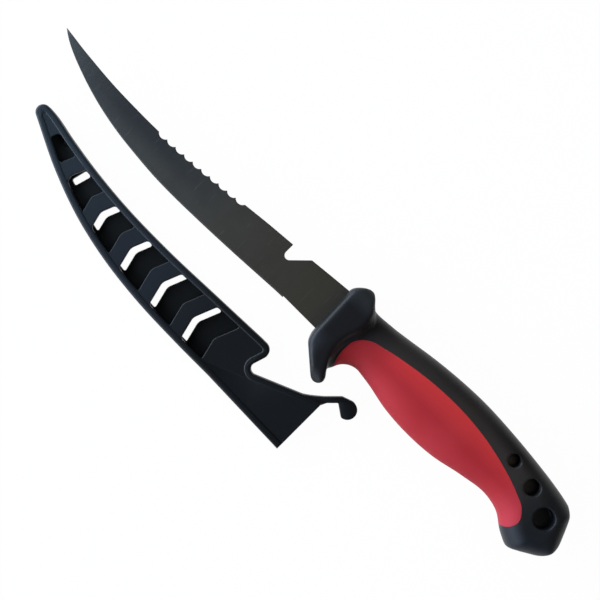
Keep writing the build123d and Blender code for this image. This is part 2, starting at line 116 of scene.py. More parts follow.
def roundAt(line, corner, radius, steps=8):
    # gives the corner of a closed outline an arc that touches the runs on both its sides
    at = min(range(len(line)), key=lambda i: math.dist(line[i], corner))
    line = line[at:] + line[:at]
    corner = Vector(line[0])

    def walk(run, reach):
        for near, far in zip(run, run[1:]):
            if math.dist(far, corner) > reach:
                done = math.dist(near, corner)
                return Vector(near).lerp(Vector(far), (reach - done) / (math.dist(far, corner) - done))

    back = [line[0]] + line[:0:-1]
    ahead, behind = ((walk(run, radius) - corner).normalized() for run in (line, back))
    half = ahead.angle(behind) / 2
    reach = radius / math.tan(half)
    centre = corner + (ahead + behind).normalized() * radius / math.sin(half)
    start, end = walk(back, reach) - centre, walk(line, reach) - centre
    first = math.degrees(math.atan2(start.y, start.x))
    sweep = (math.degrees(math.atan2(end.y, end.x)) - first + 180) % 360 - 180
    arc = arcLine(centre, radius, first, first + sweep, steps)
    return arc + [point for point in line[1:] if math.dist(point, corner) > reach * 1.001]


def drawFace(name, points):
    # a plane is merged to one corner, drawn on from point to point, closed and filled
    bpy.ops.object.select_all(action="DESELECT")
    bpy.ops.mesh.primitive_plane_add(size=mm)
    piece = bpy.context.object
    piece.name = name
    bpy.ops.object.mode_set(mode="EDIT")
    bpy.ops.mesh.select_mode(type="VERT")
    bpy.ops.mesh.select_all(action="SELECT")
    bpy.ops.mesh.merge(type="CENTER")
    bpy.ops.transform.translate(value=Vector(points[0]) * mm)
    for here, there in zip(points, points[1:] + points[:1]):
        move = (Vector(there) - Vector(here)) * mm
        bpy.ops.mesh.extrude_region_move(TRANSFORM_OT_translate={"value": move})
    bpy.ops.mesh.select_all(action="SELECT")
    bpy.ops.mesh.remove_doubles(threshold=0.001 * mm)
    bpy.ops.mesh.edge_face_add()
    bpy.ops.object.mode_set(mode="OBJECT")
    return piece


def drawOutline(name, line, low, high):
    # an outline on the table's plane, raised to a solid
    piece = drawFace(name, [(x, y, low) for x, y in line])
    bpy.ops.object.mode_set(mode="EDIT")
    bpy.ops.mesh.select_all(action="SELECT")
    bpy.ops.mesh.extrude_region_move(TRANSFORM_OT_translate={"value": (0, 0, (high - low) * mm)})
    bpy.ops.mesh.select_all(action="SELECT")
    bpy.ops.mesh.normals_make_consistent(inside=False)
    bpy.ops.object.mode_set(mode="OBJECT")
    return piece


def easeEdges(piece, width, segments, chosen, clamp=False):
    # bevels the edges that a test on their two ends picks out
    selectOnly(piece)
    bpy.ops.object.mode_set(mode="EDIT")
    bpy.ops.mesh.select_mode(type="EDGE")
    bpy.ops.mesh.select_all(action="DESELECT")
    mesh = bmesh.from_edit_mesh(piece.data)
    for edge in mesh.edges:
        if chosen(edge):
            edge.select_set(True)
    bmesh.update_edit_mesh(piece.data)
    bpy.ops.mesh.bevel(offset=width * mm, segments=segments, profile=0.5, affect="EDGES",
                       clamp_overlap=clamp)
    bpy.ops.object.mode_set(mode="OBJECT")


def runsAlong(edge, axis):
    # the two ends differ in their place on this axis
    return len({round(v.co[axis] / mm, 3) for v in edge.verts}) == 2


def isFlat(edge):
    return not runsAlong(edge, 2)


def cut(piece, cutter, operation="DIFFERENCE"):
    # a boolean that uses its cutter up
    selectOnly(piece)
    step = piece.modifiers.new("cut", "BOOLEAN")
    step.operation = operation
    step.solver = "EXACT"
    step.object = cutter
    bpy.ops.object.modifier_apply(modifier=step.name)
    bpy.data.objects.remove(cutter)
    return piece


def shiftTo(piece, x, y, z=0.0):
    # moves the mesh itself, so the finished object stays at the origin
    selectOnly(piece)
    bpy.ops.transform.translate(value=(x * mm, y * mm, z * mm))
    bpy.ops.object.transform_apply(location=True, rotation=True, scale=True)
    return piece


def smoothShade(piece, degrees):
    selectOnly(piece)
    bpy.ops.object.shade_smooth_by_angle(angle=math.radians(degrees))


def dress(piece, material, body, nodes):
    piece.data.materials.clear()
    piece.data.materials.append(material)
    if body:
        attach(piece, body)
    if nodes:
        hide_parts(*nodes)


# Materials

def toLinear(code):
    parts = [int(code[i:i + 2], 16) / 255 for i in (1, 3, 5)]
    return [c / 12.92 if c <= 0.04045 else ((c + 0.055) / 1.055) ** 2.4 for c in parts] + [1.0]


def addNode(tree, kind, settings=None, **links):
    # a node with its settings and what feeds its inputs, by name or by place as i0, i1
    node = tree.nodes.new(kind)
    for name, value in (settings or {}).items():
        setattr(node, name, value)
    for name, value in links.items():
        byPlace = name[0] == "i" and name[1:].isdigit()
        socket = node.inputs[int(name[1:]) if byPlace else name.replace("_", " ")]
        if isinstance(value, bpy.types.NodeSocket):
            tree.links.new(value, socket)
        else:
            socket.default_value = value
    return node


def newMaterial(name):
    material = bpy.data.materials.new(name)
    material.use_nodes = True
    tree = material.node_tree
    return material, tree, tree.nodes["Principled BSDF"]


def perMetre(sizeMm):
    # a texture's scale, from the size of its detail in millimetres
    return 1.0 / (sizeMm * mm)


def colourRamp(tree, factor, stops):
    ramp = addNode(tree, "ShaderNodeValToRGB", Fac=factor)
    steps = ramp.color_ramp.elements
    while len(steps) < len(stops):
        steps.new(0.5)
    for step, (place, code) in zip(steps, stops):
        step.position = place
        step.color = toLinear(code)
    return ramp.outputs["Color"]


def placeAlong(tree, axis, start, end):
    # 0 to 1 along one axis of the set, between two places in millimetres
    coordinates = addNode(tree, "ShaderNodeTexCoord")
    apart = addNode(tree, "ShaderNodeSeparateXYZ", Vector=coordinates.outputs["Object"])
    span = addNode(tree, "ShaderNodeMapRange", i0=apart.outputs[axis], i1=start * mm, i2=end * mm)
    return span.outputs["Result"]


def tintPlaces(tree, base, places, origin):
    # other colours where one span from the origin, or two that cross, reach their end
    for code, *spans in places:
        factors = [placeAlong(tree, axis, origin.get(axis, 0) + start, origin.get(axis, 0) + end)
                   for axis, start, end in spans]
        factor = factors[0]
        for other in factors[1:]:
            product = addNode(tree, "ShaderNodeMath", {"operation": "MULTIPLY"}, i0=factor, i1=other)
            factor = product.outputs[0]
        base = mixColours(tree, factor, base, toLinear(code))
    return base


def mixColours(tree, factor, first, second, blend="MIX"):
    mix = addNode(tree, "ShaderNodeMix", {"data_type": "RGBA", "blend_type": blend})
    for place, value in ((0, factor), (6, first), (7, second)):
        if isinstance(value, bpy.types.NodeSocket):
            tree.links.new(value, mix.inputs[place])
        else:
            mix.inputs[place].default_value = value
    return mix.outputs[2]


bladeLook = {
    "steel": "#3f3e3a",
    "steelDeep": "#373633",
    "steelWarm": "#44423f",
    # the next three colours are painted light on the metal: a warm reflection, a cool reflection, and shade
    "paintedWarmReflectionByGuard": "#3b3830",
    "paintedCoolReflectionTowardsTip": "#3b3f41",
    "paintedShadeOnTipSpine": "#2a2e31",
    "scratch": "#8d9298",
    "grindLineMm": 0.35,  # finer on a real blade, drawn coarser so that the lines show
    "cloudMm": 24.0,
}


def coatedSteel():
    # Dark coated stainless steel, satin ground: nearly black, with a soft metal glow and fine lines
    material, tree, surface = newMaterial("coatedSatinSteel")
    coordinates = addNode(tree, "ShaderNodeTexCoord").outputs["Object"]
    cloud = addNode(tree, "ShaderNodeTexNoise", Vector=coordinates, Scale=perMetre(bladeLook["cloudMm"]),
                    Detail=3.0)
    base = colourRamp(tree, cloud.outputs["Fac"], (
        (0.30, bladeLook["steelDeep"]), (0.52, bladeLook["steel"]), (0.75, bladeLook["steelWarm"])))
    # painted reflections: warmer by the guard, cooler towards the tip, and painted shade there on the spine's
    # side
    byGuard = placeAlong(tree, "X", knifeX - 75, knifeX - 15)
    base = mixColours(tree, byGuard, base, toLinear(bladeLook["paintedWarmReflectionByGuard"]))
    alongTip = placeAlong(tree, "X", knifeX - 60, knifeX - 150)
    base = mixColours(tree, alongTip, base, toLinear(bladeLook["paintedCoolReflectionTowardsTip"]))
    nearTip = colourRamp(tree, placeAlong(tree, "X", knifeX - 62, knifeX - 170), (
        (0.0, "#000000"), (0.42, "#ffffff"), (0.65, "#ffffff"), (0.95, "#000000")))
    bySpine = addNode(tree, "ShaderNodeMath", {"operation": "MULTIPLY"},
                      i0=nearTip, i1=placeAlong(tree, "Y", knifeY - 10, knifeY - 3))
    base = mixColours(tree, bySpine.outputs[0], base, toLinear(bladeLook["paintedShadeOnTipSpine"]))
    # grinding lines run across the blade, fine along it
    across = addNode(tree, "ShaderNodeMapping", Vector=coordinates,
                     Scale=(perMetre(bladeLook["grindLineMm"]), perMetre(30.0), perMetre(30.0)))
    lines = addNode(tree, "ShaderNodeTexNoise", Vector=across.outputs["Vector"], Scale=1.0, Detail=4.0,
                    Roughness=0.7)
    # long faint scratches
    slanted = addNode(tree, "ShaderNodeMapping", Vector=coordinates, Rotation=(0.0, 0.0, math.radians(52)),
                      Scale=(perMetre(0.5), perMetre(14.0), perMetre(14.0)))
    scratches = addNode(tree, "ShaderNodeTexNoise", Vector=slanted.outputs["Vector"], Scale=1.0, Detail=2.0)
    mask = addNode(tree, "ShaderNodeMapRange", i0=scratches.outputs["Fac"], i1=0.68, i2=0.80, i3=0.0, i4=0.35)
    scratched = mixColours(tree, mask.outputs["Result"], base, toLinear(bladeLook["scratch"]))
    tree.links.new(scratched, surface.inputs["Base Color"])
    rough = addNode(tree, "ShaderNodeMapRange", i0=lines.outputs["Fac"], i1=0.3, i2=0.7, i3=0.42, i4=0.58)
    tree.links.new(rough.outputs["Result"], surface.inputs["Roughness"])
    surface.inputs["Metallic"].default_value = 0.35
    bump = addNode(tree, "ShaderNodeBump", Height=lines.outputs["Fac"], Distance=0.01 * mm, Strength=0.35)
    tree.links.new(bump.outputs["Normal"], surface.inputs["Normal"])
    return material


rubberLook = {
    # colours of the clouds, each with its place in them
    "black": ((0.3, "#2d2b2b"), (0.5, "#302d2c"), (0.72, "#34302d")),
    "red": ((0.3, "#9f262e"), (0.5, "#a72a32"), (0.72, "#ac2f37")),
    # painted light and shade further on, with the spans in mm from the knife's origin over which they come in
    "blackPlaces": (
        ("#1d1c1b", ("Y", 11.5, 18.5)),  # painted shade on the back, which faces away from the lamps
        ("#151414", ("Y", 9, 14), ("X", 85, 105)),  # painted shade on the rim by the holes, dimming its sheen
        ("#16171a", ("X", 32, 16)),  # painted shade on the guard
        ("#2a2e31", ("X", 16, 11), ("Y", 7, 14)),  # painted reflection on the guard's spine end
        ("#24272d", ("X", 9, 5), ("Y", -8, -14)),  # painted bluish highlight on the horn's front
        ("#191c20", ("X", 108, 128)),  # painted shade on the butt
        ("#181d26", ("X", 114, 124), ("Y", -7, -15)),  # painted bluish light on the butt's toe
        ("#25292d", ("X", 139, 146), ("Y", 1, -8)),  # painted highlight on the butt's corner
    ),
    "redPlaces": (
        ("#cc393b", ("Y", -2, 8)),  # painted light towards the back, from above
        ("#9a282f", ("X", 36, 23)),  # painted shadow of the guard on the neck
        ("#ae3440", ("X", 108, 122)),  # painted sheen towards the butt
    ),
    "grainMm": 0.35,  # finer on real rubber, drawn coarser so that it shows
    "cloudMm": 26.0,
}


def mouldedRubber(name, colour, roughness, shine):
    # Thermoplastic rubber, spark-textured in the mould: matt, with a faint even grain
    material, tree, surface = newMaterial(name)
    coordinates = addNode(tree, "ShaderNodeTexCoord").outputs["Object"]
    cloud = addNode(tree, "ShaderNodeTexNoise", Vector=coordinates, Scale=perMetre(rubberLook["cloudMm"]),
                    Detail=2.0)
    base = colourRamp(tree, cloud.outputs["Fac"], rubberLook[colour])
    # painted light and shade, by place on the handle
    base = tintPlaces(tree, base, rubberLook[colour + "Places"], knifeOrigin)
    tree.links.new(base, surface.inputs["Base Color"])
    grain = addNode(tree, "ShaderNodeTexNoise", Vector=coordinates, Scale=perMetre(rubberLook["grainMm"]),
                    Detail=2.0)
    rough = addNode(tree, "ShaderNodeMapRange", i0=grain.outputs["Fac"], i1=0.3, i2=0.7,
                    i3=roughness - 0.05, i4=roughness + 0.05)
    tree.links.new(rough.outputs["Result"], surface.inputs["Roughness"])
    surface.inputs["IOR"].default_value = 1.5
    surface.inputs["Specular IOR Level"].default_value = shine
    bump = addNode(tree, "ShaderNodeBump", Height=grain.outputs["Fac"], Distance=0.02 * mm, Strength=0.3)
    tree.links.new(bump.outputs["Normal"], surface.inputs["Normal"])
    return material


sheathLook = {
    "navy": ((0.3, "#0a0d0f"), (0.5, "#0c0f12"), (0.7, "#0e1216")),
    # painted bluish light towards the tip, painted shade in the depth behind the front bands and painted
    # light reaching in by the tip: spans in mm from the mouth, and up
    "places": (
        # painted bluish light, towards the tip
        ("#1a2028", ("X", -56, -96)),
        ("#1e2830", ("X", -110, -168)),
        # painted shade in the depth, with painted light where it reaches in by the tip
        ("#07090a", ("Z", 5.2, 2.6)),
        ("#181d21", ("Z", 5.2, 2.6), ("X", -120, -166)),
    ),
    "grainMm": 0.4,  # finer on a real sheath, drawn coarser so that it shows
    "cloudMm": 40.0,
}


def mouldedPolypropylene():
    # Polypropylene with a matt moulded skin: blue-black, edges slightly polished
    material, tree, surface = newMaterial("mouldedPolypropylene")
    coordinates = addNode(tree, "ShaderNodeTexCoord").outputs["Object"]
    cloud = addNode(tree, "ShaderNodeTexNoise", Vector=coordinates, Scale=perMetre(sheathLook["cloudMm"]),
                    Detail=2.0)
    base = colourRamp(tree, cloud.outputs["Fac"], sheathLook["navy"])
    # painted light and shade, by place on the sheath
    base = tintPlaces(tree, base, sheathLook["places"], {"X": sheathHigh.x})
    tree.links.new(base, surface.inputs["Base Color"])
    grain = addNode(tree, "ShaderNodeTexNoise", Vector=coordinates, Scale=perMetre(sheathLook["grainMm"]),
                    Detail=2.0)
    rough = addNode(tree, "ShaderNodeMapRange", i0=grain.outputs["Fac"], i1=0.3, i2=0.7, i3=0.40, i4=0.52)
    tree.links.new(rough.outputs["Result"], surface.inputs["Roughness"])
    surface.inputs["IOR"].default_value = 1.49
    surface.inputs["Specular IOR Level"].default_value = 0.34
    bump = addNode(tree, "ShaderNodeBump", Height=grain.outputs["Fac"], Distance=0.015 * mm, Strength=0.25)
    tree.links.new(bump.outputs["Normal"], surface.inputs["Normal"])
    return material


# Blade

blade = {
    # along the blade's length, spine and edge as shares of its width, spine's thickness in mm
    "rows": (
        (0.000, 0.502, -0.524, 2.00), (0.065, 0.455, -0.524, 1.98), (0.129, 0.405, -0.526, 1.96),
        (0.196, 0.359, -0.553, 1.92), (0.274, 0.308, -0.586, 1.86), (0.349, 0.247, -0.612, 1.80),
        (0.420, 0.200, -0.630, 1.74), (0.491, 0.150, -0.641, 1.68), (0.563, 0.105, -0.634, 1.60),
        (0.646, 0.067, -0.586, 1.50), (0.728, 0.066, -0.511, 1.40), (0.811, 0.084, -0.379, 1.24),
        (0.894, 0.135, -0.181, 1.04), (0.936, 0.167, -0.056, 0.90), (0.966, 0.198, 0.053, 0.76),
        (0.987, 0.218, 0.150, 0.64), (1.000, 0.231, 0.222, 0.50),
    ),
    "rowSteps": 6,
    "grindShare": 0.21,
    "bevelShare": 0.035,
    "bevelThickness": 0.24,
    "edgeThickness": 0.03,
    "rootDepth": 3.0,
    "ricassoLength": 20.0,
    "ricassoHalfWidth": 11.3,
    "scallops": 10,
    "scallopPitch": 5.03,
    "scallopRadius": 3.15,
    "scallopDepth": 1.5,
    "scallopBevel": 0.55,
    "scallopStart": 0.628,
    "cutterWall": 0.191,
    "cutterDepth": 9.85,
    "cutterSlope": 44.5,
    "cutterRound": 2.2,
    "cutReach": 3.0,  # cutters reach this far up and down from its middle
}


def spineAt(share):
    for near, far in zip(blade["rows"], blade["rows"][1:]):
        if near[0] <= share <= far[0]:
            t = (share - near[0]) / (far[0] - near[0])
            return (near[1] + t * (far[1] - near[1])) * knife["bladeWidth"]
    return blade["rows"][0][1] * knife["bladeWidth"]


def buildBlade():
    rows = [(-along * knife["bladeLength"], spine * knife["bladeWidth"], edge * knife["bladeWidth"], thick)
            for along, spine, edge, thick in blade["rows"]]
    rows = [(blade["rootDepth"],) + rows[0][1:]] + smoothLine(rows, blade["rowSteps"])
    # the first section is drawn across the root, then carried along the blade
    x, spine, edge, thick = rows[0]
    height = spine - edge
    half = [(spine, thick / 2), (spine - blade["grindShare"] * height, thick / 2),
            (edge + blade["bevelShare"] * height, thick / 2 * blade["bevelThickness"]),
            (edge, thick / 2 * blade["edgeThickness"])]
    piece = drawFace("bladeSteel", [(x, y, z) for y, z in half] + [(x, y, -z) for y, z in reversed(half)])
    bpy.ops.object.mode_set(mode="EDIT")
    bpy.ops.mesh.select_all(action="SELECT")
    for here, there in zip(rows, rows[1:]):
        move = ((there[0] - here[0]) * mm, (there[1] - here[1]) * mm, 0)
        bpy.ops.mesh.extrude_region_move(TRANSFORM_OT_translate={"value": move})
        narrower = (there[1] - there[2]) / (here[1] - here[2])
        bpy.ops.transform.resize(value=(1, narrower, there[3] / here[3]),
                                 center_override=(there[0] * mm, there[1] * mm, 0))
    bpy.ops.mesh.select_all(action="SELECT")
    bpy.ops.mesh.normals_make_consistent(inside=False)
    bpy.ops.object.mode_set(mode="OBJECT")
    # unsharpened edge by the guard
    start, end = -blade["ricassoLength"], blade["rootDepth"] + 1
    high, low = -blade["ricassoHalfWidth"], -knife["bladeWidth"]
    ricasso = [(start, high), (end, high), (end, low), (start, low)]
    cut(piece, drawOutline("ricasso", ricasso, -blade["cutReach"], blade["cutReach"]))
    # scallops with their bevels, one cutter copied along the spine
    for step in range(blade["scallops"]):
        x = step * blade["scallopPitch"] - blade["scallopStart"] * knife["bladeLength"]
        y = spineAt(-x / knife["bladeLength"]) - blade["scallopDepth"] + blade["scallopRadius"]
        bpy.ops.object.select_all(action="DESELECT")
        bpy.ops.mesh.primitive_cylinder_add(vertices=48, radius=blade["scallopRadius"] * mm, depth=1.0 * mm,
                                            location=(x * mm, y * mm, 0))
        cutter = bpy.context.object
        bpy.ops.object.transform_apply(location=True)
        bpy.ops.object.mode_set(mode="EDIT")
        wide = 1 + 2 * blade["scallopBevel"] / blade["scallopRadius"]
        for side in (1, -1):
            bpy.ops.mesh.select_mode(type="FACE")
            bpy.ops.mesh.select_all(action="DESELECT")
            mesh = bmesh.from_edit_mesh(cutter.data)
            for face in mesh.faces:
                if face.normal.z * side > 0.9:
                    face.select_set(True)
            bmesh.update_edit_mesh(cutter.data)
            bpy.ops.mesh.extrude_region_move(TRANSFORM_OT_translate={"value": (0, 0, side * 1.0 * mm)})
            bpy.ops.transform.resize(value=(wide, wide, 1), center_override=(x * mm, y * mm, 0))
        bpy.ops.object.mode_set(mode="OBJECT")
        cut(piece, cutter)
    # line cutter: an upright wall, a round bottom and a long slope
    wall = -blade["cutterWall"] * knife["bladeLength"]
    bottom = spineAt(blade["cutterWall"]) - blade["cutterDepth"]
    rise = blade["cutterDepth"] + knife["bladeWidth"] / 2
    line = roundAt([(wall, bottom), (wall, bottom + rise),
                    (wall + rise / math.tan(math.radians(blade["cutterSlope"])), bottom + rise)],
                   (wall, bottom), blade["cutterRound"])
    cut(piece, drawOutline("cutterNotch", line, -blade["cutReach"], blade["cutReach"]))
    shiftTo(piece, knifeX, knifeY, knifeZ)
    smoothShade(piece, 9)
    return piece


# Guard

guard = {
    # along its length from its front face, and across its height
    "top": ((-0.037, 0.288), (0.100, 0.350), (0.385, 0.403), (0.560, 0.348), (0.679, 0.293)),
    "rear": ((0.679, 0.293), (0.795, 0.177), (0.779, 0.044), (0.668, -0.098), (0.642, -0.230),
             (0.737, -0.350), (0.916, -0.480)),
    "front": ((0.094, -0.384), (0.018, -0.292), (-0.037, 0.288)),
    "hornCentre": (0.832, -0.549),
    "hornRadius": 3.45,
    "endRound": 9.0,  # its ends as seen from the front
    "endMargin": 2.0,
    "blockOver": 6.0,  # the block that rounds them is longer by this
    "edgeRound": 2.5,
    "cornerRound": 3.2,
    "creaseWidth": 0.4,  # edges this near to the rear crease stay sharp
    "creaseReach": 4.2,
    "frontReach": 5.5,
    "frontPasses": 60,
    "footReaches": (0.8, 2.0, 2.6, 2.6, 1.8, 0.6),
    "footShare": 0.80,
}


def buildGuard():
    length, height = knife["guardLength"], knife["guardHeight"]
    top, rear, front = ([(x * length, y * height) for x, y in guard[part]]
                        for part in ("top", "rear", "front"))
    centre = (guard["hornCentre"][0] * length, guard["hornCentre"][1] * height)
    line = smoothLine(top, 3)[:-1] + smoothLine(rear, 4) + arcLine(centre, guard["hornRadius"], 60, -131, 14)
    line += front[:2]
    for corner in front[:2]:
        line = roundAt(line, corner, guard["cornerRound"], 5)
    piece = drawOutline("guardForm", line, -knife["thickness"] / 2, knife["thickness"] / 2)
    crease = smoothLine(rear, 4)

    def isFront(edge):
        away = [min(math.dist(v.co.xy / mm, point) for point in crease) for v in edge.verts]
        return isFlat(edge) and max(away) > guard["creaseWidth"]

    easeEdges(piece, guard["edgeRound"], 5, isFront)
    # its ends are rounded as seen from the front
    low = min(y for x, y in line) - guard["endMargin"]
    high = max(y for x, y in line) + guard["endMargin"]
    bpy.ops.object.select_all(action="DESELECT")
    bpy.ops.mesh.primitive_cube_add(size=mm, location=(length / 2 * mm, (low + high) / 2 * mm, 0))
    block = bpy.context.object
    bpy.ops.transform.resize(value=(length + guard["blockOver"], high - low, knife["thickness"]))
    bpy.ops.object.transform_apply(location=True, scale=True)
    easeEdges(block, guard["endRound"], 12, lambda edge: runsAlong(edge, 0))
    cut(piece, block, "INTERSECT")
    # a lower foot behind it eases the step down to the neck
    foot = [(x + reach, y) for (x, y), reach in zip(rear, guard["footReaches"])]
    foot = smoothLine(foot, 4) + [(length / 2, foot[-1][1]), (length / 2, foot[0][1])]
    half = knife["thickness"] / 2 * guard["footShare"]
    return piece, drawOutline("guardFoot", foot, -half, half), crease, front


# Grip

grip = {
    # along the handle, belly and back as shares of its height, and thickness as a share of the handle's
    "rows": (
        (0.239, -0.353, 0.431, 0.86), (0.324, -0.425, 0.485, 0.94), (0.430, -0.454, 0.529, 0.99),
        (0.530, -0.427, 0.545, 1.00), (0.635, -0.335, 0.526, 0.98), (0.728, -0.287, 0.493, 0.99),
        (0.788, -0.342, 0.465, 1.035), (0.844, -0.500, 0.434, 1.085), (0.900, -0.605, 0.393, 1.105),
        (1.020, -0.605, 0.262, 1.09),
    ),
    "neckShare": 0.185,
    "neckBelly": -0.322,
    "neckBacks": (0.398, 0.374),
    "neckThickness": (0.81, 0.75),
    "neckRadius": 9.4,
    "neckTurn": 84.0,
    "neckRows": 10,
    "tail": 9.0,
    "sides": 72,
    "flatness": 2.5,
    "rowSteps": 6,
    # red zone's border on the side
    "border": (
        (0.1550, -0.900), (0.1420, -0.620), (0.1175, -0.470), (0.1060, -0.270), (0.1120, -0.090),
        (0.1430, 0.048), (0.1960, 0.120), (0.2820, 0.193), (0.3740, 0.243), (0.4750, 0.257),
        (0.5950, 0.213), (0.6860, 0.130), (0.7720, 0.010), (0.8220, -0.100), (0.8425, -0.245),
        (0.8320, -0.390), (0.8120, -0.470), (0.7800, -0.560),
    ),
    "seam": 0.01,
    # places as shares, widths in mm
    "holes": ((0.7065, 0.276, 6.0), (0.8003, 0.193, 7.5), (0.8906, 0.017, 9.8)),
    "holeDepth": 8.0,
    "holeOver": 2.0,  # cutters stand out by this
    "endLean": 23.4,
    "underLean": 29.5,
    "shoulderLean": 46.0,
    "buttRound": 6.0,
    "buttRoundHeight": -0.201,
    "shoulderHeight": 0.2385,
    "shoulderRound": 8.0,
    "cornerRound": 11.0,
    "rimRound": 8.0,
    "buttThickness": 24.0,
    "skinMm": 0.5,
    "skinPasses": 1,
    "edgePasses": 6,
    "creasePasses": 60,
    "rimReach": 5.0,
    "rimPasses": 45,
    "rimStart": 8.0,  # the relaxed rim starts this far ahead of the shoulder
    "rimSteps": (2, 12),  # its points inwards from the corner, by step
    "toeSteps": (-3, 3),  # and across the toe, in mm
    "toeReach": 21.0,
    "lipReach": 2.0,
    "lipPasses": 14,
}


def gripRows():
    length, height, thickness = knife["handleLength"], knife["handleHeight"], knife["handleThickness"]
    neck = []
    for step in reversed(range(grip["neckRows"])):
        turn = math.radians(grip["neckTurn"]) * step / (grip["neckRows"] - 1)
        run, fall = grip["neckRadius"] * math.sin(turn), grip["neckRadius"] * (1 - math.cos(turn))
        ease = run / grip["neckRadius"]
        back = grip["neckBacks"][0] + ease * (grip["neckBacks"][1] - grip["neckBacks"][0])
        thick = grip["neckThickness"][0] + ease * (grip["neckThickness"][1] - grip["neckThickness"][0])
        neck.append((grip["neckShare"] * length - run, grip["neckBelly"] * height - fall, back * height,
                     thick * thickness))
    rows = [(x * length, low * height, high * height, thick * thickness)
            for x, low, high, thick in grip["rows"]]
    rows = smoothLine([neck[-1]] + rows, grip["rowSteps"])
    return [(neck[0][0] - grip["tail"],) + neck[0][1:]] + neck + rows[1:]


def buildGripForm():
    rows = gripRows()
    x, low, high, thick = rows[0]
    section = []
    for step in range(grip["sides"]):
        turn = 2 * math.pi * step / grip["sides"]
        up, out = (math.copysign(abs(c) ** (2 / grip["flatness"]), c)
                   for c in (math.cos(turn), math.sin(turn)))
        section.append((x, (low + high) / 2 + up * (high - low) / 2, out * thick / 2))
    piece = drawFace("gripForm", section)
    bpy.ops.object.mode_set(mode="EDIT")
    bpy.ops.mesh.select_all(action="SELECT")
    for here, there in zip(rows, rows[1:]):
        middle = (there[1] + there[2]) / 2
        move = ((there[0] - here[0]) * mm, (middle - (here[1] + here[2]) / 2) * mm, 0)
        bpy.ops.mesh.extrude_region_move(TRANSFORM_OT_translate={"value": move})
        taller = (there[2] - there[1]) / (here[2] - here[1])
        bpy.ops.transform.resize(value=(1, taller, there[3] / here[3]),
                                 center_override=(there[0] * mm, middle * mm, 0))
    bpy.ops.mesh.select_all(action="SELECT")
    bpy.ops.mesh.normals_make_consistent(inside=False)
    bpy.ops.object.mode_set(mode="OBJECT")
    return piece


def buttCutters():
    # the outline that trims the butt, and two leaning blocks whose round rims shape its end and underside
    length, height = knife["handleLength"], knife["handleHeight"]
    end, under = math.radians(grip["endLean"]), math.radians(90 - grip["underLean"])
    endNormal = Vector((math.cos(end), math.sin(end)))
    underNormal = Vector((math.cos(under), -math.sin(under)))
    centre = Vector((length - grip["buttRound"], grip["buttRoundHeight"] * height))
    corner = centre + (endNormal + underNormal) * grip["buttRound"] / (1 + endNormal.dot(underNormal))
    shoulderY = grip["shoulderHeight"] * height
    shoulderX = corner.x - (shoulderY - corner.y) * math.tan(end)
    run = (height - shoulderY) / math.tan(math.radians(grip["shoulderLean"]))
    drop = height * math.tan(math.radians(grip["underLean"]))
    line = [(-height, height), (shoulderX - run, height), (shoulderX, shoulderY), tuple(corner),
            (corner.x - height, corner.y - drop), (-height, -height * 1.5)]
    line = roundAt(line, tuple(corner), grip["cornerRound"], 12)
    line = roundAt(line, (shoulderX, shoulderY), grip["shoulderRound"], 8)
    half = knife["thickness"] / 2
    cutters = [drawOutline("buttBlock", line, -half, half)]
    for lean, normal in ((end, endNormal), (-under, underNormal)):
        bpy.ops.object.select_all(action="DESELECT")
        place = corner - normal * length
        bpy.ops.mesh.primitive_cube_add(size=mm, location=(place.x * mm, place.y * mm, 0),
                                        rotation=(0, 0, lean))
        block = bpy.context.object
        block.scale = (2 * length, 6 * length, grip["buttThickness"])
        bpy.ops.object.transform_apply(location=True, rotation=True, scale=True)
        easeEdges(block, grip["rimRound"], 12, lambda edge: (
            isFlat(edge) and all((Vector(v.co.xy) / mm - corner).dot(normal) > -1 for v in edge.verts)))
        cutters.append(block)
    rim = [point for point in line if point[0] > shoulderX - grip["rimStart"]]
    rim += [tuple(corner - (endNormal + underNormal) * step) for step in range(*grip["rimSteps"])]
    toe = corner - Vector((math.sin(under), math.cos(under))) * grip["toeReach"]
    rim += [tuple(toe + underNormal * step) for step in range(*grip["toeSteps"])]
    return cutters, rim


def redZone(seam):
    length, height = knife["handleLength"], knife["handleHeight"]
    line = smoothLine([(x * length, y * height) for x, y in grip["border"]], 6)
    # drawn in by the seam, square to the line
    drawn = []
    for i, (x, y) in enumerate(line):
        ahead, behind = line[min(i + 1, len(line) - 1)], line[max(i - 1, 0)]
        run = Vector((ahead[0] - behind[0], ahead[1] - behind[1])).normalized()
        drawn.append((x + run.y * seam, y - run.x * seam))
    return drawOutline("redZone", drawn, -knife["thickness"], knife["thickness"])


def holeCutters():
    cutters = []
    depth = grip["holeDepth"] + grip["holeOver"]
    for along, across, diameter in grip["holes"]:
        for side in (1, -1):
            bpy.ops.object.select_all(action="DESELECT")
            bpy.ops.mesh.primitive_cylinder_add(
                vertices=48, radius=diameter / 2 * mm, depth=depth * mm,
                location=(along * knife["handleLength"] * mm, across * knife["handleHeight"] * mm,
                          side * (knife["thickness"] / 2 - grip["holeDepth"] + depth / 2) * mm))
            cutters.append(bpy.context.object)
            bpy.ops.object.transform_apply(location=True)
    return cutters


def soften(piece, passes):
    # an even skin of small faces, relaxed until its edges are round
    selectOnly(piece)
    skin = piece.modifiers.new("skin", "REMESH")
    skin.mode = "VOXEL"
    skin.voxel_size = grip["skinMm"] * mm
    bpy.ops.object.modifier_apply(modifier=skin.name)
    relax(piece, passes)


def relax(piece, passes, group=""):
    selectOnly(piece)
    step = piece.modifiers.new("relax", "SMOOTH")
    step.factor = 0.5
    step.iterations = passes
    step.vertex_group = group
    bpy.ops.object.modifier_apply(modifier=step.name)


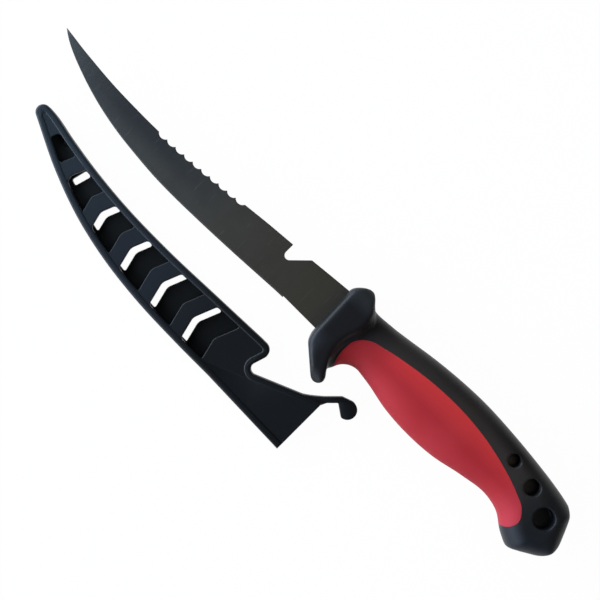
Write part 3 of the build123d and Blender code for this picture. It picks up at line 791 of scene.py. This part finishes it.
def relaxAlong(piece, line, reach, passes):
    # rounds out a crease or a rim along a line
    group = piece.vertex_groups.new(name="crease")
    left, right = min(x for x, y in line) - reach, max(x for x, y in line) + reach
    for vertex in piece.data.vertices:
        place = vertex.co.xy / mm
        if left < place.x < right:
            away = min(math.dist(place, point) for point in line)
            if away < reach:
                group.add([vertex.index], 1 - (away / reach) ** 2, "REPLACE")
    relax(piece, passes, group.name)
    piece.vertex_groups.clear()


def buildHandle():
    form = buildGripForm()
    form.name = "overmould"
    cutters, rim = buttCutters()
    for cutter in cutters:
        cut(form, cutter, "INTERSECT")
    guardForm, foot, crease, front = buildGuard()
    selectOnly(form)
    guardForm.select_set(True)
    foot.select_set(True)
    bpy.ops.object.join()
    soften(form, grip["edgePasses"])
    relaxAlong(form, crease, guard["creaseReach"], grip["creasePasses"])
    relaxAlong(form, smoothLine(front, 12), guard["frontReach"], guard["frontPasses"])
    relaxAlong(form, rim, grip["rimReach"], grip["rimPasses"])
    for cutter in holeCutters():
        cut(form, cutter)
    soften(form, grip["skinPasses"])
    for along, across, diameter in grip["holes"]:
        centre = (along * knife["handleLength"], across * knife["handleHeight"])
        relaxAlong(form, arcLine(centre, diameter / 2, 0, 360, 24), grip["lipReach"], grip["lipPasses"])
    selectOnly(form)
    bpy.ops.object.duplicate()
    red = bpy.context.object
    red.name = "bellyGrip"
    cut(red, redZone(grip["seam"]), "INTERSECT")
    cut(form, redZone(-grip["seam"]))
    for piece in (form, red):
        shiftTo(piece, knifeX, knifeY, knifeZ)
        smoothShade(piece, 38)
    return form, red


# Sheath

sheath = {
    "length": sheathHigh.x - sheathLow.x,
    "width": 30.1,
    "thickness": sheathHigh.z - sheathLow.z,
    "rim": 3.2,
    "recess": 0.32,  # from the rim's top and bottom to the plates' outer faces
    "cavity": 2.6,  # the blade's room between the plates
    # along its length from its mouth, and across its width
    "edge": ((0.000, -0.472), (0.245, -0.425), (0.362, -0.422), (0.509, -0.385), (0.626, -0.296),
             (0.743, -0.130), (0.860, 0.133)),
    "spine": ((0.960, 0.737), (0.889, 0.654), (0.801, 0.568), (0.684, 0.498), (0.538, 0.478),
              (0.362, 0.512), (0.216, 0.545)),
    "mouthTop": 0.515,
    "lobe": (0.168, 0.545),
    "notch": (0.196, 0.002),
    "lobeRound": 4.2,
    "lobeLeast": 1.0,
    "notchRound": 2.8,
    "tipRadius": 3.55,
    "tipHeight": 0.628,
    "tipAngles": (243.5, 80.0),
    "tipRound": 1.0,  # inside the rim, which is wider round its tip
    "firstBand": 0.298,
    "bandPitch": 21.2,
    "bandLength": 7.8,
    "slot": 2.8,
    "overlap": 0.8,
    # by window from the mouth on: the rear ones keep clear of the rim by gaps, of its edge side by margins
    "chevronHeights": (0.030, 0.075, 0.105, 0.170, 0.240, 0.250),
    "rearGaps": (0.5, 0.5, 0.5, 0.5),
    "rearMargins": (0.0, 0.0, 0.2, 0.6),
    # the last rear window has an outline of its own
    "tipSlot": ((0.8203, 0.206), (0.8107, 0.4485), (0.7914, 0.442), (0.8037, 0.173)),
    "tipSlotRound": 0.95,
    "chevronSlopes": (0.25, 0.40),
    "smallFrom": 140.0,  # windows beyond this clamp their corner rounds
    "cornerRound": 1.35,
    "windowOver": 0.04,
    "edgeRound": 1.1,
    "innerRound": 0.7,
    "bandRound": 0.35,
    "plateHold": 1.0,  # plates reach this far into the rim
    "plateBack": 0.06,  # and end this far behind the mouth
}
sheathX = sheathHigh.x
sheathY = sheathLow.y - sheath["edge"][0][1] * sheath["width"]

latch = {
    # shares of the sheath's length from its mouth, and of its width
    "root": (-0.0044, 0.541),
    "top": (0.0443, 0.827),
    "side": (0.0782, 0.655),
    "bottom": (0.0565, 0.542),
    # lug by the mouth and corner under the arm, in mm from the mouth and the sheath's middle line
    "lug": ((-14.0, 6.0), (-13.2, 9.1), (-10.5, 10.8), (-6.5, 13.5)),
    "corner": ((0.0, 13.6), (-2.0, 12.0)),
    "width": 2.85,
    "thickness": latchHigh.z - latchLow.z,
    # where the arm's sides start and end, in mm along it from its root
    "armTop": 0.5,
    "armLow": 1.6,
    "bend": 8.8,
    "inner": 6.9,
    "innerRound": 0.7,
    "bottomRound": 0.9,
    "armRound": 2.0,
    "edgeRound": 0.4,
    "flex": (0.35, 2.8),  # the stretch that bends, from its root, as much along as across
}


def sheathLine(inset, reach):
    length, width = sheath["length"], sheath["width"]
    centre = (sheath["tipRadius"] - length, sheath["tipHeight"] * width)
    tip = arcLine(centre, sheath["tipRadius"], sheath["tipAngles"][0], sheath["tipAngles"][1], 14)
    edge = [(-x * length, y * width) for x, y in sheath["edge"]]
    spine = [(-x * length, y * width) for x, y in sheath["spine"]]
    lobe, notch = ((-x * length, y * width) for x, y in (sheath["lobe"], sheath["notch"]))
    mouthHigh = sheath["mouthTop"] * width
    slope = (edge[0][1] - edge[1][1]) / (edge[0][0] - edge[1][0])
    start = (reach, edge[0][1] + reach * slope)
    stop = (reach, mouthHigh + reach * (mouthHigh - notch[1]) / -notch[0])
    line = [start] + smoothLine(edge[1:] + [tip[0]], 6) + tip[1:-1] + smoothLine([tip[-1]] + spine, 6)
    line += [lobe, notch, stop]
    if inset:
        drawn = []
        for i, here in enumerate(line):
            before, after = Vector(line[i - 1]), Vector(line[(i + 1) % len(line)])
            a, b = (Vector(here) - before).normalized(), (after - Vector(here)).normalized()
            a, b = Vector((a.y, -a.x)), Vector((b.y, -b.x))
            drawn.append(tuple(Vector(here) + (a + b) * inset / (1 + a.dot(b))))
        line = drawn
        lobe, notch = line[-3], line[-2]
    if inset > sheath["rim"] / 2:
        # the rim is wider round its tip
        line = roundAt(line, line[len(edge) * 6 - 6 + 7], sheath["tipRound"] + sheath["rim"] - inset, 8)
    line = roundAt(line, lobe, max(sheath["lobeRound"] - inset, sheath["lobeLeast"]), 10)
    return roundAt(line, notch, sheath["notchRound"] + inset, 14)


def window(near, far, heightShare, gap, margin, low, high, clamp=False):
    # chevron opening between two borders, kept inside the rim and clear of its edge side, with round corners
    middle, reach = heightShare * sheath["width"], sheath["width"]
    edgeSlope, spineSlope = sheath["chevronSlopes"]

    def border(x):
        ends = ((x + edgeSlope * reach, middle - reach), (x + spineSlope * reach, middle + reach))
        return [ends[0], (x, middle), ends[1]]

    cutter = drawOutline("window", border(near) + border(far)[::-1], low, high)
    inside = [(x, y + margin) for x, y in sheathLine(sheath["rim"] - sheath["windowOver"] + gap, 0)]
    cut(cutter, drawOutline("inside", inside, low - 1, high + 1), "INTERSECT")
    easeEdges(cutter, sheath["cornerRound"], 4, lambda edge: (
        runsAlong(edge, 2) and edge.calc_face_angle(0) > math.radians(35)), clamp)
    return cutter


def buildSheath():
    thick = sheath["thickness"]
    shell = drawOutline("sheathShell", sheathLine(0, 0), 0, thick)
    easeEdges(shell, sheath["edgeRound"], 4, isFlat)
    cut(shell, latchForm(), "UNION")
    cut(shell, drawOutline("room", sheathLine(sheath["rim"], sheath["rim"] + 1), -1, thick + 1))
    easeEdges(shell, sheath["innerRound"], 3, lambda edge: (
        isFlat(edge) and edge.calc_face_angle(0) > math.radians(60)
        and all(v.co.x < -0.1 * mm for v in edge.verts)))
    # front and rear plates sit in the rim, their windows alternating
    fronts = [-sheath["firstBand"] * sheath["length"] - step * sheath["bandPitch"]
              for step in range(len(sheath["chevronHeights"]))]
    bands = [front - (sheath["bandPitch"] - sheath["bandLength"]) for front in fronts]
    rears = [(band + sheath["slot"], band - sheath["bandLength"] + sheath["overlap"]) for band in bands[:-2]]
    slot = corners = [(-x * sheath["length"], y * sheath["width"]) for x, y in sheath["tipSlot"]]
    for corner in corners:
        slot = roundAt(slot, corner, sheath["tipSlotRound"], 6)
    inner, outer = thick / 2 - sheath["cavity"] / 2, sheath["recess"]
    held = sheath["rim"] - sheath["plateHold"]
    zeros = [0] * len(fronts)
    for low, high, places, gaps, margins in (
            (outer, inner, rears, sheath["rearGaps"], sheath["rearMargins"]),
            (thick - inner, thick - outer, zip(fronts, bands), zeros, zeros)):
        plate = drawOutline("plate", sheathLine(held, held - sheath["plateBack"]), low, high)
        for (near, far), share, gap, margin in zip(places, sheath["chevronHeights"], gaps, margins):
            clamp = -far > sheath["smallFrom"]
            cut(plate, window(near, far, share, gap, margin, low - 1, high + 1, clamp))
        if places is rears:
            cut(plate, drawOutline("tipSlot", slot, low - 1, high + 1))
        easeEdges(plate, sheath["bandRound"], 1, lambda edge: (
            isFlat(edge) and edge.calc_face_angle(0) > math.radians(60) and isWindowEdge(edge)))
        cut(shell, plate, "UNION")
    shiftTo(shell, sheathX, sheathY)
    smoothShade(shell, 30)
    return shell


def isWindowEdge(edge):
    # a window's wall faces the middle of the opening that it borders
    wall = min(edge.link_faces, key=lambda face: abs(face.normal.z))
    return abs(wall.normal.z) < 0.1 and abs(wall.normal.x) > 0.6 and edge.verts[0].co.x < -mm


def latchForm():
    # lug, springy arm and hooked head in one outline
    half = latch["width"] / 2
    diagonal = Vector((1, 1)).normalized()
    side = Vector((-1, 1)).normalized()
    root, top, tip, bottom = (Vector((latch[part][0] * sheath["length"], latch[part][1] * sheath["width"]))
                              for part in ("root", "top", "side", "bottom"))
    bend = root + diagonal * latch["bend"] + side * half
    inner = root + diagonal * latch["inner"] - side * half
    # circle through the head's three points
    d = 2 * (top.x * (tip.y - bottom.y) + tip.x * (bottom.y - top.y) + bottom.x * (top.y - tip.y))
    cx = (top.length_squared * (tip.y - bottom.y) + tip.length_squared * (bottom.y - top.y)
          + bottom.length_squared * (top.y - tip.y)) / d
    cy = (top.length_squared * (bottom.x - tip.x) + tip.length_squared * (top.x - bottom.x)
          + bottom.length_squared * (tip.x - top.x)) / d
    start = math.degrees(math.atan2(top.y - cy, top.x - cx))
    stop = math.degrees(math.atan2(bottom.y - cy, bottom.x - cx))
    head = arcLine((cx, cy), (top - Vector((cx, cy))).length, start, stop, 14)
    armTop = root + side * half + diagonal * latch["armTop"]
    armLow = root - side * half + diagonal * latch["armLow"]
    line = [latch["lug"][0]] + smoothLine([*latch["lug"][1:], tuple(armTop)], 4)
    line += smoothLine([tuple(bend), tuple(top)] + head[1:4], 4) + head[4:]
    line += [tuple(inner), tuple(armLow), *latch["corner"]]
    line = roundAt(line, tuple(inner), latch["innerRound"], 5)
    line = roundAt(line, tuple(bottom), latch["bottomRound"], 5)
    line = roundAt(line, tuple(armLow), latch["armRound"], 6)
    middle, half = sheath["thickness"] / 2, latch["thickness"] / 2
    piece = drawOutline("latchForm", line, middle - half, middle + half)
    easeEdges(piece, latch["edgeRound"], 2, isFlat)
    return piece


# Scene round the object

table = {
    "size": 16.0,  # metres, to fill a view from the side too
    "colour": "#fafafa",
    "roughness": 0.9,
    "glowShare": 0.975,  # of white in what is seen, the rest takes light and shadow
}
view = {
    "height": 0.6,  # metres, as the aim
    "lens": 78.3,
    "aim": (0.0, 0.0145),
    "turn": 45.0,
}


def addCamera():
    bpy.ops.object.camera_add(location=(view["aim"][0], view["aim"][1], view["height"]),
                              rotation=(0, 0, math.radians(view["turn"])))
    camera = bpy.context.object
    camera.data.lens = view["lens"]
    camera.data.sensor_width = 36
    bpy.context.scene.camera = camera


lights = {
    # name: place in metres, size in metres, power in watts, colour, whether it shows as a highlight
    "leftPanel": ((-0.85, -0.85, 0.50), 1.0, 15.0, "#d6e5f6", True),
    "tipPanel": ((-1.05, -0.05, 0.45), 0.8, 14.0, "#d2e2f4", True),
    "lowerPanel": ((-0.10, -1.00, 0.60), 0.7, 4.5, "#dbe8fa", True),
    "topPanel": ((0.42, 0.42, 1.05), 0.7, 4.5, "#ffeedd", False),
}
room = {
    # what shows in reflections: walls, pale on one side, and a dim ceiling, as sines of the angle upwards
    "wall": "#f7f8fa",
    "farWall": "#46484c",
    "wallTurn": (-0.3, 0.5),
    "ceiling": "#303234",
    "wallTop": 0.30,
    "ceilingStart": 0.52,
}


def addLights():
    for name, (place, size, power, colour, shows) in lights.items():
        bpy.ops.object.light_add(type="AREA", location=place)
        lamp = bpy.context.object
        lamp.name = name
        lamp.data.size = size
        lamp.data.energy = power
        lamp.data.color = toLinear(colour)[:3]
        lamp.visible_glossy = shows
        lamp.rotation_euler = Vector(place).to_track_quat("Z", "Y").to_euler()
    world = bpy.data.worlds.new("paleRoom")
    bpy.context.scene.world = world
    world.use_nodes = True
    tree = world.node_tree
    direction = addNode(tree, "ShaderNodeTexCoord").outputs["Generated"]
    apart = addNode(tree, "ShaderNodeSeparateXYZ", Vector=direction)
    start, end = room["wallTurn"]
    rise = addNode(tree, "ShaderNodeMapRange", i0=apart.outputs["Z"], i1=room["wallTop"],
                   i2=room["ceilingStart"])
    turn = addNode(tree, "ShaderNodeVectorMath", {"operation": "DOT_PRODUCT"}, i0=direction,
                   i1=(-0.707, -0.707, 0))
    side = addNode(tree, "ShaderNodeMapRange", i0=turn.outputs["Value"], i1=start, i2=end)
    walls = mixColours(tree, side.outputs["Result"], toLinear(room["farWall"]), toLinear(room["wall"]))
    sky = mixColours(tree, rise.outputs["Result"], walls, toLinear(room["ceiling"]))
    tree.links.new(sky, tree.nodes["Background"].inputs["Color"])


def addFloor():
    bpy.ops.object.select_all(action="DESELECT")
    bpy.ops.mesh.primitive_plane_add(size=table["size"], location=(0, 0, 0))
    floor = bpy.context.object
    floor.name = "floor"
    material, tree, surface = newMaterial("paleTable")
    surface.inputs["Base Color"].default_value = toLinear(table["colour"])
    surface.inputs["Roughness"].default_value = table["roughness"]
    glow = addNode(tree, "ShaderNodeEmission", Color=(1, 1, 1, 1), Strength=1.0)
    ray = addNode(tree, "ShaderNodeLightPath")
    seen = addNode(tree, "ShaderNodeMath", {"operation": "MAXIMUM"}, i0=ray.outputs["Is Camera Ray"],
                   i1=ray.outputs["Is Glossy Ray"])
    seen = addNode(tree, "ShaderNodeMath", {"operation": "MAXIMUM"}, i0=seen.outputs[0],
                   i1=ray.outputs["Is Transmission Ray"])
    share = addNode(tree, "ShaderNodeMath", {"operation": "MULTIPLY"}, i0=seen.outputs[0],
                    i1=table["glowShare"])
    mix = addNode(tree, "ShaderNodeMixShader", i0=share.outputs[0], i1=surface.outputs[0], i2=glow.outputs[0])
    tree.links.new(mix.outputs[0], tree.nodes["Material Output"].inputs["Surface"])
    floor.data.materials.append(material)


addCamera()
addLights()
addFloor()
print("camera, lights and floor are in place")

steel = coatedSteel()
blackRubber = mouldedRubber("mouldedBlackRubber", "black", roughness=0.46, shine=0.28)
redRubber = mouldedRubber("mouldedRedRubber", "red", roughness=0.60, shine=0.13)
polypropylene = mouldedPolypropylene()
print("materials are made")

dress(buildBlade(), steel, "knife", ["blade"])
print("blade is built")
overmould, bellyGrip = buildHandle()
dress(overmould, blackRubber, "knife", ["grip_overmould", "handle_core"])
dress(bellyGrip, redRubber, "knife", ["belly_grip"])
print("handle is built")
shell = buildSheath()
dress(shell, polypropylene, None, ["sheath_shell", "latch_arm"])
# the arm lies at 45 degrees, as far along as across
root = Vector((latch["root"][0] * sheath["length"], latch["root"][1] * sheath["width"], 0))
root += Vector((sheathX, sheathY, 0))
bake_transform(shell)
print("sheath is built")

bpy.context.scene.view_settings.view_transform = "Standard"
